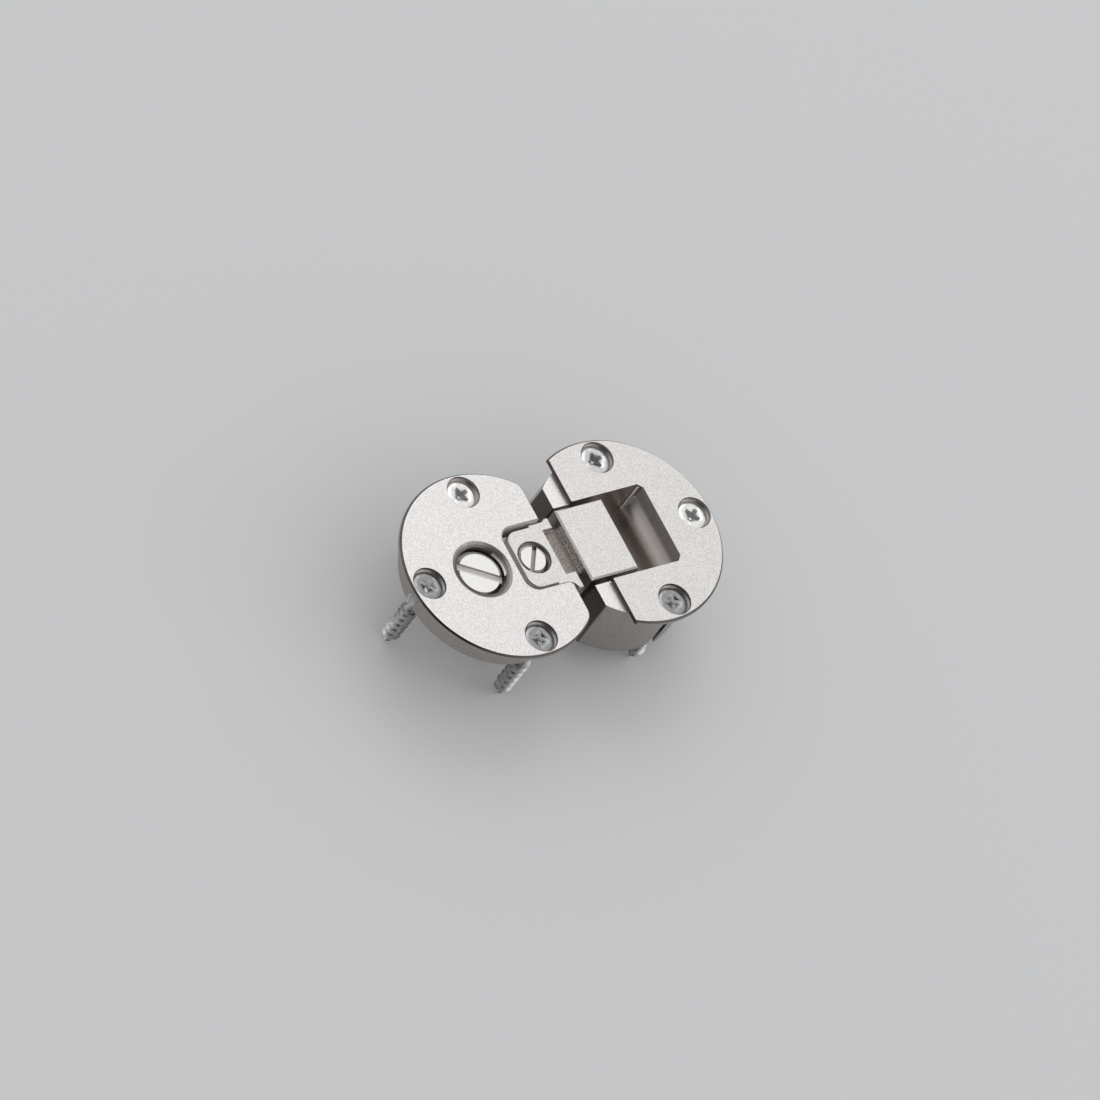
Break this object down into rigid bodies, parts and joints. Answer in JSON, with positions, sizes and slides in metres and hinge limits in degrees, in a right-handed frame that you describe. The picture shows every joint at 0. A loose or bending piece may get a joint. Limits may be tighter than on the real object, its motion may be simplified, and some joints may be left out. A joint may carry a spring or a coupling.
{
  "type": "flap hinge",
  "caption": "Two round flanged halves joined by an adjustable arm: one half screws to a cabinet floor, the other to a flap, which turns up from flat to a right angle.",
  "frame": {"origin": "centre of the cabinet half's round body at the panel's surface", "axes": "+X from the cabinet half to the flap half, +Y along the hinge axis, +Z out of the panel's surface"},
  "size_m": [0.0692, 0.0394, 0.0208],
  "materials": {
    "nickel": "satin nickel plate on a fine-grained zinc casting",
    "polished": "bright polished nickel plate on turned steel",
    "zinc": "bright zinc plate on pressed or rolled steel",
    "pin": "ground bare steel"
  },
  "bodies": {
    "cabinet_side": {"cabinet_plate": "nickel", "base_plate": "zinc", "cabinet_screw_1": "zinc", "cabinet_screw_2": "zinc", "cabinet_screw_3": "zinc"},
    "adjuster": {"eccentric_adjuster": "polished", "adjuster_ring": "zinc"},
    "arm": {"hinge_arm": "nickel", "clamp_nut": "zinc"},
    "clamp": {"clamp_screw": "polished"},
    "flap_side": {"flap_cup": "nickel", "hinge_pin": "pin", "flap_screw_1": "zinc", "flap_screw_2": "zinc", "flap_screw_3": "zinc"}
  },
  "joints": [
    {"name": "adjuster_turn", "type": "hinge", "parent": "cabinet_side", "child": "adjuster", "pos_m": [-0.00365, 0, 0], "axis": [0, 0, 1], "range_deg": [-55, 55]},
    {"name": "arm_slide", "type": "slide", "parent": "cabinet_side", "child": "arm", "axis": [1, 0, 0], "range_m": [-0.001, 0.001]},
    {"name": "clamp_turn", "type": "hinge", "parent": "arm", "child": "clamp", "pos_m": [0.00875, 0, 0], "axis": [0, 0, 1], "range_deg": [0, 180]},
    {"name": "flap_pivot", "type": "hinge", "parent": "arm", "child": "flap_side", "pos_m": [0.0228, 0, -0.0065], "axis": [0, -1, 0], "range_deg": [0, 90]}
  ],
  "couplings": [
    {"joint": "adjuster_turn", "follows": "arm_slide", "rad_per_m": 959.9}
  ]
}
